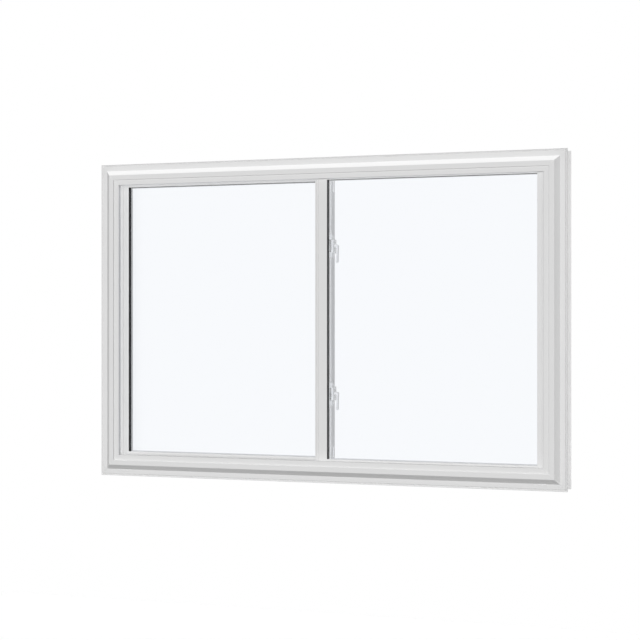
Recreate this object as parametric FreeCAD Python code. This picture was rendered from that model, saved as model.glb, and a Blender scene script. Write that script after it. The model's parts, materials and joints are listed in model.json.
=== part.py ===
import FreeCAD, Part
import math
import os

from FreeCAD import Vector

# Horizontal sliding window of white extruded vinyl: an exterior brickmould around a
# double-track frame, a wall flange behind it, and two double-glazed sashes that slide.
# Millimetres. +X is right as seen from outdoors, +Y goes into the building, +Z is up.
# The origin is on the back face of the sill flange, at the middle of its strip.

# Whole window
WIDTH = 1500.0
HEIGHT = 1000.0

# Wall flange and the gap for the wall cladding in front of it
FLANGE_WIDTH = 25.0
FLANGE_THICK = 2.0
CLADDING_GAP = 67.0
NAIL_SLOT_WIDTH = 5.0
NAIL_SLOT_LENGTH = 20.0
NAIL_PITCH = 400.0
NAILS_ACROSS = 4
NAILS_UP = 2

# Brickmould section, from its outer edge inwards
LIP_BAND = 21.0
LIP_THICK = 6.9
RIM_WIDTH = 4.8
RIM_RISE = 0.3
RIM_ROUND = 0.8
RIM_GROOVE = 3.0
RIM_GROOVE_FLANK = 1.4
BEVEL_WIDTH = 14.9
BEVEL_RISE = 17.4
PROUD_BAND = 15.6
SEAT_DEPTH = 10.0
EDGE_ROUND = 1.2
FINE_ROUND = 0.7

# Frame section: exterior leg, track floor, track divider and interior leg
STEP_DROP = 5.0
STEP_BAND = 16.3
EXTERIOR_LEG = 14.3
FRAME_WALL = 6.0
DIVIDER_THICK = 2.0
DIVIDER_HEIGHT = 24.0
INTERIOR_LEG = 10.0
INTERIOR_LEG_HEIGHT = 27.0
TRACK_CLEARANCE = 5.0
TRACK_RIB_WIDTH = 4.0
TRACK_RIB_HEIGHT = 2.0

# Sashes
SASH_DEPTH = 35.0
SASH_GAP = 7.0
TOP_RAIL = 31.8
BOTTOM_RAIL = 35.3
LEFT_JAMB_STILE = 32.5
LOCK_STILE = 45.5
KEEPER_STILE = 37.9
RIGHT_JAMB_STILE = 51.1
MEETING_EDGE = 13.5
GROOVE_PLACES = (4.0, 10.0)
GROOVE_WIDTH = 1.6
GROOVE_DEPTH = 1.4
PULL_HEIGHT = 300.0
PULL_WIDTH = 12.0
PULL_PROUD = 10.0
PULL_HOOK = 5.0
PULL_FROM_EDGE = 14.0

# Sealed glazing unit and its beads
GLAZING_LIP = 2.0
PANE_THICK = 3.2
UNIT_THICK = 20.2
GLASS_BITE = 9.0
POCKET_DEPTH = 10.0
SPACER_WIDTH = 8.0
SPACER_DROP = 1.6
SPACER_SHIFT = 1.2
BEAD_ROUND = 2.0
BEAD_JOINT = 0.4

# Rollers under each sash
WHEEL_RADIUS = 9.0
WHEEL_WIDTH = 8.0
WHEEL_CHAMFER = 1.5
AXLE_RADIUS = 2.5
ROLLER_SLOT_WIDTH = 14.0
ROLLER_SLOT_LENGTH = 26.0
ROLLER_HEADROOM = 2.0
ROLLER_FROM_END = 110.0
RUNNING_GAP = 0.3

# Cam locks on the edge of the inner sash, keepers on the outer sash
LOCK_SPREAD = 457.0
HOUSING_SETBACK = 1.0
HOUSING_DEPTH = 28.0
HOUSING_HEIGHT = 43.0
HOUSING_PROUD = 7.3
HOUSING_ROUND = 2.0
LOCK_AXIS_SETBACK = 10.0
CAM_FLOOR = 1.8
CAM_THICK = 2.2
CAM_LENGTH = 24.5
CAM_WIDTH = 12.0
CAM_PLAY = 0.4
SPINDLE_RADIUS = 4.0
HUB_RADIUS = 7.5
HUB_HEIGHT = 5.0
LEVER_WIDTH = 10.5
LEVER_REACH = 20.0
LEVER_THICK = 4.5
LEVER_DROP = 51.0
LEVER_HEEL = 5.0
LEVER_LEAN = 1.0
LEVER_PADDLE = 3.0
LEVER_CHAMFER = 0.8
KEEPER_HEIGHT = 70.0
KEEPER_PLATE = 1.5
KEEPER_DEPTH = 17.0
KEEPER_GLASS_GAP = 0.8
KEEPER_PROUD = 10.0
KEEPER_EAR = 15.5
KEEPER_BAR_DEPTH = 5.0
KEEPER_BAR_THICK = 5.0
KEEPER_ROUND = 1.5

# Small trim
PLUG_LENGTH = 33.0
PLUG_WIDTH = 9.0
PLUG_THICK = 3.0
PLUG_SETBACK = 15.0
PILE_WIDTH = 7.0
PILE_DEPTH = 6.0
WEEP_LENGTH = 45.0
WEEP_HEIGHT = 5.0
WEEP_THICK = 1.6
WEEP_FROM_END = 82.0
WEEP_CHAMFER = 1.0
TRIM_ROUND = 0.8

# Places across the section, as Y
FLANGE_FRONT = -FLANGE_THICK
LIP_BACK = FLANGE_FRONT - CLADDING_GAP
LIP_FRONT = LIP_BACK - LIP_THICK
PROUD_FACE = LIP_FRONT - BEVEL_RISE
SEAT_FACE = LIP_BACK - SEAT_DEPTH
RIM_FRONT = LIP_FRONT - RIM_RISE
STEP_FACE = PROUD_FACE + STEP_DROP
LEG_BACK = STEP_FACE + EXTERIOR_LEG
OUTER_SASH = LEG_BACK + TRACK_CLEARANCE
DIVIDER_FRONT = OUTER_SASH + SASH_DEPTH + TRACK_CLEARANCE
DIVIDER_BACK = DIVIDER_FRONT + DIVIDER_THICK
INNER_SASH = DIVIDER_BACK + TRACK_CLEARANCE
INTERIOR_FRONT = INNER_SASH + SASH_DEPTH + TRACK_CLEARANCE
INTERIOR_BACK = INTERIOR_FRONT + INTERIOR_LEG

# Places in from the outer edge
BEVEL_TOP = LIP_BAND + BEVEL_WIDTH
MOULD_INNER = BEVEL_TOP + PROUD_BAND
FRAME_SIGHT = MOULD_INNER + STEP_BAND
TRACK_FLOOR = FLANGE_WIDTH + FRAME_WALL
RIB_TOP = TRACK_FLOOR + TRACK_RIB_HEIGHT
SASH_EDGE = TRACK_FLOOR + SASH_GAP

BOTTOM = -FLANGE_WIDTH / 2
MIDDLE = BOTTOM + HEIGHT / 2

# Which way each side's inset runs, from the outer edge to the middle of the window
INWARDS = {
    "sill": Vector(0, 0, 1),
    "head": Vector(0, 0, -1),
    "left": Vector(1, 0, 0),
    "right": Vector(-1, 0, 0),
}


class Rect:
    """An upright rectangle, by its edges in X and Z."""

    def __init__(self, x0, z0, x1, z1):
        self.x0, self.z0, self.x1, self.z1 = x0, z0, x1, z1

    def inset(self, left, bottom, right, top):
        return Rect(self.x0 + left, self.z0 + bottom, self.x1 - right, self.z1 - top)

    def shrunk(self, by):
        return self.inset(by, by, by, by)

    def grown(self, by):
        return self.shrunk(-by)

    def slab(self, y0, y1):
        return box((self.x0, y0, self.z0), (self.x1, y1, self.z1))


WINDOW = Rect(-WIDTH / 2, BOTTOM, WIDTH / 2, BOTTOM + HEIGHT)


def box(low, high):
    """An upright block from its low corner to its high corner."""
    size = [b - a for a, b in zip(low, high)]
    return Part.makeBox(*size, Vector(*low))


def face_of(points):
    """A flat face through points, given as vectors in order."""
    return Part.Face(Part.makePolygon(list(points) + [points[0]]))


def rod(radius, start, end):
    """A round bar between two points."""
    start, end = Vector(*start), Vector(*end)
    return Part.makeCylinder(radius, (end - start).Length, start, end - start)


def section(outline):
    """A member's section standing in the plane X = 0.

    The outline has (inset, y) corners, or (inset, y, radius) for a rounded corner.
    """
    corners = [(Vector(0, y, inset), radius[0] if radius else 0) for inset, y, *radius in outline]
    starts, ends, arcs = [], [], []
    for i, (corner, radius) in enumerate(corners):
        before = (corners[i - 1][0] - corner).normalize()
        after = (corners[(i + 1) % len(corners)][0] - corner).normalize()
        half = before.getAngle(after) / 2
        reach = radius / math.tan(half)
        starts.append(corner + before * reach)
        ends.append(corner + after * reach)
        bisector = (before + after).normalize()
        arcs.append(corner + bisector * (radius / math.sin(half) - radius))
    edges = []
    for i, (_, radius) in enumerate(corners):
        if radius:
            edges.append(Part.Arc(starts[i], arcs[i], ends[i]).toShape())
        edges.append(Part.makeLine(ends[i], starts[(i + 1) % len(corners)]))
    return Part.Face(Part.Wire(edges))


def mitre_mask(side, outer, sight, y0, y1):
    """The block between one outer edge of a ring and its sight line, mitred at both ends."""
    ends = {
        "sill": [(r.x0, r.z0, r.x1, r.z0) for r in (outer, sight)],
        "head": [(r.x0, r.z1, r.x1, r.z1) for r in (outer, sight)],
        "left": [(r.x0, r.z0, r.x0, r.z1) for r in (outer, sight)],
        "right": [(r.x1, r.z0, r.x1, r.z1) for r in (outer, sight)],
    }[side]
    (ax, az, bx, bz), (cx, cz, dx, dz) = ends
    corners = [(ax, az), (bx, bz), (dx, dz), (cx, cz)]
    return face_of([Vector(x, y0, z) for x, z in corners]).extrude(Vector(0, y1 - y0, 0))


def member(face, side, outer, sight):
    """One mitred member of a rectangular ring, extruded from its section."""
    upright = side in ("left", "right")
    length = outer.z1 - outer.z0 if upright else outer.x1 - outer.x0
    bar = face.translated(Vector(-length / 2, 0, 0)).extrude(Vector(length, 0, 0))
    inwards = INWARDS[side]
    bar.rotate(Vector(), Vector(0, 1, 0), math.degrees(math.atan2(inwards.x, inwards.z)))
    middle_x, middle_z = (outer.x0 + outer.x1) / 2, (outer.z0 + outer.z1) / 2
    foot = {
        "sill": Vector(middle_x, 0, outer.z0),
        "head": Vector(middle_x, 0, outer.z1),
        "left": Vector(outer.x0, 0, middle_z),
        "right": Vector(outer.x1, 0, middle_z),
    }[side]
    bar.translate(foot)
    reach = bar.BoundBox
    return bar.common(mitre_mask(side, outer, sight, reach.YMin, reach.YMax))


def single(shape):
    """The one solid of a shape, with its split faces merged."""
    return shape.removeSplitter().Solids[0]


def brickmould_section():
    """A rounded rim with a groove behind it, a flat lip, a steep bevel and a proud inner band."""
    return section([
        (0, LIP_BACK),
        (0, RIM_FRONT, RIM_ROUND),
        (RIM_WIDTH, LIP_FRONT + RIM_GROOVE),
        (RIM_WIDTH + RIM_GROOVE_FLANK, LIP_FRONT),
        (LIP_BAND, LIP_FRONT, FINE_ROUND),
        (BEVEL_TOP, PROUD_FACE, EDGE_ROUND),
        (MOULD_INNER, PROUD_FACE, EDGE_ROUND),
        (MOULD_INNER, SEAT_FACE),
        (FLANGE_WIDTH, SEAT_FACE),
        (FLANGE_WIDTH, LIP_BACK),
    ])


def frame_section():
    """A double-track channel: exterior leg, floor, divider and interior leg."""
    divider_top = TRACK_FLOOR + DIVIDER_HEIGHT
    interior_top = TRACK_FLOOR + INTERIOR_LEG_HEIGHT
    return section([
        (FLANGE_WIDTH, SEAT_FACE),
        (MOULD_INNER, SEAT_FACE),
        (MOULD_INNER, STEP_FACE),
        (FRAME_SIGHT, STEP_FACE, EDGE_ROUND),
        (FRAME_SIGHT, LEG_BACK, EDGE_ROUND),
        (TRACK_FLOOR, LEG_BACK, EDGE_ROUND),
        (TRACK_FLOOR, DIVIDER_FRONT, EDGE_ROUND),
        (divider_top, DIVIDER_FRONT, FINE_ROUND),
        (divider_top, DIVIDER_BACK, FINE_ROUND),
        (TRACK_FLOOR, DIVIDER_BACK, EDGE_ROUND),
        (TRACK_FLOOR, INTERIOR_FRONT, EDGE_ROUND),
        (interior_top, INTERIOR_FRONT, EDGE_ROUND),
        (interior_top, INTERIOR_BACK, EDGE_ROUND),
        (FLANGE_WIDTH, INTERIOR_BACK),
    ])


def flange_section():
    return section([
        (0, FLANGE_FRONT), (FLANGE_WIDTH, FLANGE_FRONT), (FLANGE_WIDTH, 0), (0, 0),
    ])


def nail_slot(x, z, upright):
    """The cutter of one nail slot, centred on the flange strip and running along it."""
    half = (NAIL_SLOT_LENGTH - NAIL_SLOT_WIDTH) / 2
    radius = NAIL_SLOT_WIDTH / 2
    along = Vector(0, 0, half) if upright else Vector(half, 0, 0)
    wide = Vector(radius, 0, 0) if upright else Vector(0, 0, radius)
    centre = Vector(x, FLANGE_FRONT, z)
    depth = Vector(0, FLANGE_THICK, 0)
    tip, tail = centre + along, centre - along
    cutter = face_of([tip + wide, tip - wide, tail - wide, tail + wide]).extrude(depth)
    for end in (tip, tail):
        cutter = cutter.fuse(rod(radius, end, end + depth))
    return cutter.removeSplitter()


def spread(count, pitch):
    """Places of a row of like things, centred on zero."""
    return [(i - (count - 1) / 2) * pitch for i in range(count)]


def make_flange(side):
    strip = member(flange_section(), side, WINDOW, WINDOW.shrunk(FLANGE_WIDTH))
    line = WINDOW.shrunk(FLANGE_WIDTH / 2)
    if side in ("left", "right"):
        x = line.x0 if side == "left" else line.x1
        slots = [nail_slot(x, MIDDLE + z, True) for z in spread(NAILS_UP, NAIL_PITCH)]
    else:
        z = line.z0 if side == "sill" else line.z1
        slots = [nail_slot(x, z, False) for x in spread(NAILS_ACROSS, NAIL_PITCH)]
    return single(strip.cut(Part.makeCompound(slots)))


def track_middle(face_y):
    """The middle of a sash's thickness, over which its track rib runs."""
    return face_y + SASH_DEPTH / 2


def make_track_ribs():
    """The two ribs on the sill's track floor that the rollers run on."""
    ends = WINDOW.shrunk(TRACK_FLOOR)
    ribs = []
    for face_y in (OUTER_SASH, INNER_SASH):
        low_y = track_middle(face_y) - TRACK_RIB_WIDTH / 2
        ribs.append(box((ends.x0, low_y, ends.z0),
                        (ends.x1, low_y + TRACK_RIB_WIDTH, ends.z0 + TRACK_RIB_HEIGHT)))
    return Part.makeCompound(ribs)


class Sash:
    """One sliding sash: mitred rails and stiles round a sealed glazing unit."""

    def __init__(self, x0, x1, left_stile, right_stile, face_y):
        edge = WINDOW.shrunk(SASH_EDGE)
        self.outer = Rect(x0, edge.z0, x1, edge.z1)
        self.widths = {
            "left": left_stile, "right": right_stile, "sill": BOTTOM_RAIL, "head": TOP_RAIL,
        }
        self.sight = self.outer.inset(left_stile, BOTTOM_RAIL, right_stile, TOP_RAIL)
        self.front = face_y
        self.back = face_y + SASH_DEPTH
        self.unit_front = face_y + GLAZING_LIP
        self.unit_back = self.unit_front + UNIT_THICK

    def section(self, side, grooves=()):
        """A rail or stile with the stepped seat that takes the glazing unit and its bead."""
        width = self.widths[side]
        seat = width - POCKET_DEPTH
        outline = [(0, self.front, EDGE_ROUND)]
        for place in grooves:
            outline += [
                (place - GROOVE_WIDTH / 2, self.front),
                (place, self.front + GROOVE_DEPTH),
                (place + GROOVE_WIDTH / 2, self.front),
            ]
        return section(outline + [
            (width, self.front, FINE_ROUND), (width, self.unit_front),
            (seat, self.unit_front), (seat, self.back), (0, self.back, EDGE_ROUND),
        ])

    def member(self, side, grooves=()):
        return single(member(self.section(side, grooves), side, self.outer, self.sight))

    def roller_places(self):
        return [self.outer.x0 + ROLLER_FROM_END, self.outer.x1 - ROLLER_FROM_END]

    def wheel_height(self):
        return BOTTOM + RIB_TOP + RUNNING_GAP + WHEEL_RADIUS

    def bottom_rail(self):
        """The bottom rail, with a slot in its underside for each roller."""
        rail = self.member("sill")
        middle = track_middle(self.front)
        top = self.wheel_height() + WHEEL_RADIUS + ROLLER_HEADROOM
        for x in self.roller_places():
            rail = rail.cut(box(
                (x - ROLLER_SLOT_LENGTH / 2, middle - ROLLER_SLOT_WIDTH / 2, self.outer.z0),
                (x + ROLLER_SLOT_LENGTH / 2, middle + ROLLER_SLOT_WIDTH / 2, top),
            ))
        return single(rail)

    def rollers(self):
        """A chamfered wheel on its axle in each slot of the bottom rail."""
        middle, height = track_middle(self.front), self.wheel_height()
        half, rim = WHEEL_WIDTH / 2, WHEEL_RADIUS - WHEEL_CHAMFER
        reach = ROLLER_SLOT_WIDTH / 2
        outline = [
            (0, -reach), (AXLE_RADIUS, -reach), (AXLE_RADIUS, -half), (rim, -half),
            (WHEEL_RADIUS, -half + WHEEL_CHAMFER), (WHEEL_RADIUS, half - WHEEL_CHAMFER),
            (rim, half), (AXLE_RADIUS, half), (AXLE_RADIUS, reach), (0, reach),
        ]
        wheels = []
        for x in self.roller_places():
            axis = Vector(x, middle, height)
            profile = face_of([axis + Vector(r, y, 0) for r, y in outline])
            wheels.append(profile.revolve(axis, Vector(0, 1, 0), 360))
        return Part.makeCompound(wheels)

    def pane(self, outermost):
        front = self.unit_front if outermost else self.unit_back - PANE_THICK
        return self.sight.grown(GLASS_BITE).slab(front, front + PANE_THICK)

    def spacer(self):
        """The dark edge spacer between the two panes, set a little low and to the right of the sight line."""
        y0, y1 = self.unit_front + PANE_THICK, self.unit_back - PANE_THICK
        ring = self.sight.grown(SPACER_WIDTH).slab(y0, y1)
        return single(ring.cut(self.sight.inset(SPACER_SHIFT, -SPACER_DROP, -SPACER_SHIFT, 0).slab(y0, y1)))

    def beads(self):
        """Four glazing beads that hold the unit from indoors, with rounded inner edges."""
        outer = self.sight.grown(POCKET_DEPTH)
        outline = section([
            (0, self.unit_back), (POCKET_DEPTH, self.unit_back),
            (POCKET_DEPTH, self.back, BEAD_ROUND), (0, self.back),
        ])
        beads = [single(member(outline, side, outer, self.sight)) for side in ("left", "right")]
        room = outer.inset(BEAD_JOINT, 0, BEAD_JOINT, 0)
        gap = self.sight.inset(BEAD_JOINT, 0, BEAD_JOINT, 0)
        beads += [single(member(outline, side, room, gap)) for side in ("sill", "head")]
        return Part.makeCompound(beads)


SASH_REACH = WIDTH / 2 - SASH_EDGE
KEEPER_EDGE = MEETING_EDGE - KEEPER_STILE
LEFT_SASH = Sash(-SASH_REACH, MEETING_EDGE, LEFT_JAMB_STILE, LOCK_STILE, INNER_SASH)
RIGHT_SASH = Sash(KEEPER_EDGE, SASH_REACH, KEEPER_STILE, RIGHT_JAMB_STILE, OUTER_SASH)

HOUSING_FRONT = LEFT_SASH.front + HOUSING_SETBACK
LOCK_AXIS_Y = LEFT_SASH.front + LOCK_AXIS_SETBACK
HOUSING_FACE = MEETING_EDGE + HOUSING_PROUD
CAM_LOW = MEETING_EDGE + CAM_FLOOR
CAM_HIGH = CAM_LOW + CAM_THICK


def make_lock_housing(z):
    """A rounded housing with a half-round slot in which the cam swings up and over."""
    low = Vector(MEETING_EDGE, HOUSING_FRONT, z - HOUSING_HEIGHT / 2)
    body = Part.makeBox(HOUSING_PROUD, HOUSING_DEPTH, HOUSING_HEIGHT, low)
    middle = (MEETING_EDGE + HOUSING_FACE) / 2
    body = body.makeFillet(HOUSING_ROUND, [e for e in body.Edges if e.BoundBox.XMin > middle])
    slot_low, slot_high = CAM_LOW - CAM_PLAY, CAM_HIGH + CAM_PLAY
    axis = Vector(slot_low, LOCK_AXIS_Y, z)
    sweep = CAM_LENGTH + CAM_PLAY + HOUSING_DEPTH
    below = CAM_WIDTH / 2 + CAM_PLAY
    slot = box((slot_low, LOCK_AXIS_Y - sweep, z - below), (slot_high, LOCK_AXIS_Y + sweep, z + sweep))
    bore = rod(SPINDLE_RADIUS + RUNNING_GAP, axis, axis + Vector(HOUSING_PROUD, 0, 0))
    return single(body.cut(slot).cut(bore))


def lever_outline():
    """The lever's side view: out from the hub, round a bend and down to a thicker tip."""
    root = HUB_HEIGHT + HOUSING_PROUD + RUNNING_GAP
    outer, inner = LEVER_REACH, LEVER_REACH - LEVER_THICK
    tip_outer, tip_inner = outer - LEVER_LEAN, inner - LEVER_PADDLE
    diagonal = LEVER_HEEL * (1 - math.sqrt(0.5))
    tip_half = (tip_outer - tip_inner) / 2
    shoulder = -LEVER_DROP + tip_half

    def p(x, z):
        return Vector(MEETING_EDGE + x, 0, z)

    edges = [
        Part.LineSegment(p(root, LEVER_HEEL), p(outer - LEVER_HEEL, LEVER_HEEL)),
        Part.Arc(p(outer - LEVER_HEEL, LEVER_HEEL),
                 p(outer - diagonal, LEVER_HEEL - diagonal), p(outer, 0)),
        Part.LineSegment(p(outer, 0), p(tip_outer, shoulder)),
        Part.Arc(p(tip_outer, shoulder),
                 p(tip_outer - tip_half, -LEVER_DROP), p(tip_inner, shoulder)),
        Part.LineSegment(p(tip_inner, shoulder), p(inner, -LEVER_HEEL)),
        Part.LineSegment(p(inner, -LEVER_HEEL), p(root, -LEVER_HEEL)),
        Part.LineSegment(p(root, -LEVER_HEEL), p(root, LEVER_HEEL)),
    ]
    return Part.Face(Part.Wire([e.toShape() for e in edges]))


def make_lock_lever(z):
    """The lever with its hub, spindle and the cam that turns behind the keeper's bar."""
    blade = lever_outline().extrude(Vector(0, LEVER_WIDTH, 0))
    blade.translate(Vector(0, LOCK_AXIS_Y - LEVER_WIDTH / 2, z))
    sides = [e.BoundBox for e in blade.Edges]
    grip = [e for e, b in zip(blade.Edges, sides)
            if b.YLength < LEVER_CHAMFER and b.ZLength > LEVER_DROP / 2]
    blade = blade.makeChamfer(LEVER_CHAMFER, grip)
    hub_low = HOUSING_FACE + RUNNING_GAP
    hub_high = hub_low + HUB_HEIGHT
    half = CAM_WIDTH / 2
    hub = rod(HUB_RADIUS, (hub_low, LOCK_AXIS_Y, z), (hub_high, LOCK_AXIS_Y, z))
    spindle = rod(SPINDLE_RADIUS, (CAM_LOW, LOCK_AXIS_Y, z), (hub_high, LOCK_AXIS_Y, z))
    cam = box((CAM_LOW, LOCK_AXIS_Y, z - half), (CAM_HIGH, LOCK_AXIS_Y + CAM_LENGTH, z + half))
    cam = cam.fuse(rod(half, (CAM_LOW, LOCK_AXIS_Y, z), (CAM_HIGH, LOCK_AXIS_Y, z)))
    return single(blade.fuse([hub, spindle, cam]))


def make_keeper(z):
    """A plate with two rounded ears joined by a bar, on the indoor side of the keeper stile."""
    front = RIGHT_SASH.unit_back + KEEPER_GLASS_GAP
    back = RIGHT_SASH.unit_back + KEEPER_DEPTH
    x, half = MEETING_EDGE, KEEPER_HEIGHT / 2
    keeper = box((x, front, z - half), (x + KEEPER_PLATE, back, z + half))
    for low in (z - half, z + half - KEEPER_EAR):
        ear = box((x, front, low), (x + KEEPER_PROUD, back, low + KEEPER_EAR))
        top = [e for e in ear.Edges if e.BoundBox.XMin > x and e.BoundBox.YLength > KEEPER_ROUND]
        keeper = keeper.fuse(ear.makeFillet(KEEPER_ROUND, top))
    bar_low = x + KEEPER_PROUD - KEEPER_BAR_THICK
    inner = half - KEEPER_EAR
    bar = box((bar_low, back - KEEPER_BAR_DEPTH, z - inner), (x + KEEPER_PROUD, back, z + inner))
    return single(keeper.fuse(bar))


def make_sash_pull():
    """The upright finger pull on the indoor face of the lock stile, hooked towards the edge."""
    edge = MEETING_EDGE - PULL_FROM_EDGE
    stem = edge - PULL_WIDTH + PULL_HOOK
    low, high = MIDDLE - PULL_HEIGHT / 2, MIDDLE + PULL_HEIGHT / 2
    base, lip = LEFT_SASH.back, LEFT_SASH.back + PULL_PROUD
    outline = [
        (edge - PULL_WIDTH, base), (stem, base), (stem, lip - PULL_HOOK / 2),
        (edge, lip - PULL_HOOK / 2), (edge, lip), (edge - PULL_WIDTH, lip),
    ]
    bar = face_of([Vector(x, y, low) for x, y in outline]).extrude(Vector(0, 0, high - low))
    uprights = [e for e in bar.Edges if e.BoundBox.ZLength > PULL_PROUD]
    return bar.makeFillet(TRIM_ROUND, [e for e in uprights if e.BoundBox.YMin > lip - TRIM_ROUND])


def make_stile_plugs():
    """Two end plugs on the edge of the lock stile, at its top and bottom."""
    low_y = LEFT_SASH.front + PLUG_SETBACK
    high_x, high_y = MEETING_EDGE + PLUG_THICK, low_y + PLUG_WIDTH
    plugs = []
    for low_z in (LEFT_SASH.sight.z0, LEFT_SASH.sight.z1 - PLUG_LENGTH):
        plug = box((MEETING_EDGE, low_y, low_z), (high_x, high_y, low_z + PLUG_LENGTH))
        plugs.append(plug.makeFillet(TRIM_ROUND, [e for e in plug.Edges if e.BoundBox.XMin > MEETING_EDGE]))
    return Part.makeCompound(plugs)


def make_pile_seal():
    """The pile strip down the indoor face of the keeper stile."""
    x = RIGHT_SASH.outer.x0 + PILE_WIDTH
    return box((x, RIGHT_SASH.back, RIGHT_SASH.sight.z0),
               (x + PILE_WIDTH, RIGHT_SASH.back + PILE_DEPTH, RIGHT_SASH.sight.z1))


def make_weep_covers():
    """Two drain covers on the lower lip of the brickmould, under its bevel."""
    covers = []
    top, front = BOTTOM + LIP_BAND - FINE_ROUND, LIP_FRONT - WEEP_THICK
    for x in (-WIDTH / 2 + WEEP_FROM_END, WIDTH / 2 - WEEP_FROM_END):
        low, high = x - WEEP_LENGTH / 2, x + WEEP_LENGTH / 2
        cover = box((low, front, top - WEEP_HEIGHT), (high, LIP_FRONT, top))
        rim = [e for e in cover.Edges if e.BoundBox.YMax < LIP_FRONT]
        covers.append(cover.makeChamfer(WEEP_CHAMFER, rim))
    return Part.makeCompound(covers)


def build():
    """Every piece of the window, by its name."""
    pieces = {}
    for side in INWARDS:
        pieces["brickmould_" + side] = single(
            member(brickmould_section(), side, WINDOW, WINDOW.shrunk(MOULD_INNER)))
        pieces["frame_" + side] = single(
            member(frame_section(), side, WINDOW, WINDOW.shrunk(FRAME_SIGHT)))
        pieces["flange_" + side] = make_flange(side)
    pieces["track_ribs"] = make_track_ribs()
    pieces["weep_covers"] = make_weep_covers()
    stiles = {
        "left_sash": ("jamb_stile", "lock_stile"),
        "right_sash": ("keeper_stile", "jamb_stile"),
    }
    grooves = {"left_sash": (), "right_sash": GROOVE_PLACES}
    for name, sash in (("left_sash", LEFT_SASH), ("right_sash", RIGHT_SASH)):
        left_name, right_name = stiles[name]
        pieces[name + "_" + left_name] = sash.member("left", grooves[name])
        pieces[name + "_" + right_name] = sash.member("right")
        pieces[name + "_top_rail"] = sash.member("head")
        pieces[name + "_bottom_rail"] = sash.bottom_rail()
        pieces[name + "_outer_pane"] = sash.pane(True)
        pieces[name + "_inner_pane"] = sash.pane(False)
        pieces[name + "_spacer"] = sash.spacer()
        pieces[name + "_beads"] = sash.beads()
        pieces[name + "_rollers"] = sash.rollers()
    for name, z in zip(("lower", "upper"), spread(2, LOCK_SPREAD)):
        pieces[name + "_lock_housing"] = make_lock_housing(MIDDLE + z)
        pieces[name + "_lock_lever"] = make_lock_lever(MIDDLE + z)
        pieces[name + "_keeper"] = make_keeper(MIDDLE + z)
    pieces["left_sash_pull"] = make_sash_pull()
    pieces["lock_stile_plugs"] = make_stile_plugs()
    pieces["keeper_stile_pile"] = make_pile_seal()
    return pieces


def main():
    os.makedirs("parts", exist_ok=True)
    for name, shape in build().items():
        shape.exportStep("parts/" + name + ".step")
        print(name, len(shape.Solids), round(shape.Volume), shape.isValid())


main()
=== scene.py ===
"""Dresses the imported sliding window: finishes, small fittings, studio light and the camera."""

import json
import logging
import math
from contextlib import contextmanager
from dataclasses import dataclass
from enum import Enum
from typing import Any, Callable, Iterator, Sequence

import bmesh
import bpy
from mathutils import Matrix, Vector


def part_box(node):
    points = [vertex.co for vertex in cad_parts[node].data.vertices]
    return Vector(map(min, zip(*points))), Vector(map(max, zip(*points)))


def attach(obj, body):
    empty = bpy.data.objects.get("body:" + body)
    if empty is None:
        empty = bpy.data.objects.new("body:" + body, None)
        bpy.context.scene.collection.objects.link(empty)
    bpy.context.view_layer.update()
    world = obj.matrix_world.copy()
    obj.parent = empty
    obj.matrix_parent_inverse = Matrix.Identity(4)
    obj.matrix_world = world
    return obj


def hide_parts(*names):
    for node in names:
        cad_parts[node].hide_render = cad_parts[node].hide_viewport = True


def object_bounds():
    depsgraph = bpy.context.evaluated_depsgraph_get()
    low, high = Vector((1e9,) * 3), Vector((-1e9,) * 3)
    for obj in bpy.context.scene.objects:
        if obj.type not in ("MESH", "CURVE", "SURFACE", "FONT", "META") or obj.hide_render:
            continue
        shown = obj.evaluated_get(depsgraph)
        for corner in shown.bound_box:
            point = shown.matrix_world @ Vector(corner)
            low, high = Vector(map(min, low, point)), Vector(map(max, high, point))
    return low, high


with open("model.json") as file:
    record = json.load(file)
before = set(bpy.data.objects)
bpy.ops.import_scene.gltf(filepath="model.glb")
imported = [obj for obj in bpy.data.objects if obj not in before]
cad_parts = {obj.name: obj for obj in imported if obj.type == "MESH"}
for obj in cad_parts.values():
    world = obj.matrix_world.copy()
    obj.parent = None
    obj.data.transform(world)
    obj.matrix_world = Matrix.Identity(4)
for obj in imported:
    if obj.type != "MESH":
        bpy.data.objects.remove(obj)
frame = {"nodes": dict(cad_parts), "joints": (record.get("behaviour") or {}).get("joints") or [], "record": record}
CAD_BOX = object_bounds()

LOG = logging.getLogger("sliding_window")
Triple = tuple[float, float, float]
WHITE: Triple = (1.0, 1.0, 1.0)
NOISE_OCTAVES = 2.0
ALIGNED = 0.99


class Slot(Enum):
    """The material slots of the record."""

    VINYL = "white_vinyl"
    GLASS = "clear_glass"
    SPACER = "edge_spacer"
    NYLON = "roller_nylon"
    ENAMEL = "lock_enamel"
    PILE = "pile_seal"


class Wire:
    """A shader socket that takes part in Python expressions."""

    def __init__(self, shader: "Shader", socket: bpy.types.NodeSocket) -> None:
        """Keeps the socket and the shader that its nodes go to."""
        self.shader = shader
        self.socket = socket

    def _math(self, operation: str, first: Any, second: Any) -> "Wire":
        """Adds one Math node for two values or wires."""
        return self.shader.node("ShaderNodeMath", {"operation": operation}, {0: first, 1: second})

    def __add__(self, other: Any) -> "Wire":
        """Adds a value or wire."""
        return self._math("ADD", self, other)

    def __radd__(self, other: Any) -> "Wire":
        """Adds this wire to a value."""
        return self._math("ADD", other, self)

    def __sub__(self, other: Any) -> "Wire":
        """Takes a value or wire away."""
        return self._math("SUBTRACT", self, other)

    def __mul__(self, other: Any) -> "Wire":
        """Multiplies by a value or wire."""
        return self._math("MULTIPLY", self, other)

    def __lt__(self, other: Any) -> "Wire":
        """Gives 1 where this wire is below a value or wire, and 0 elsewhere."""
        return self._math("LESS_THAN", self, other)


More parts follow.
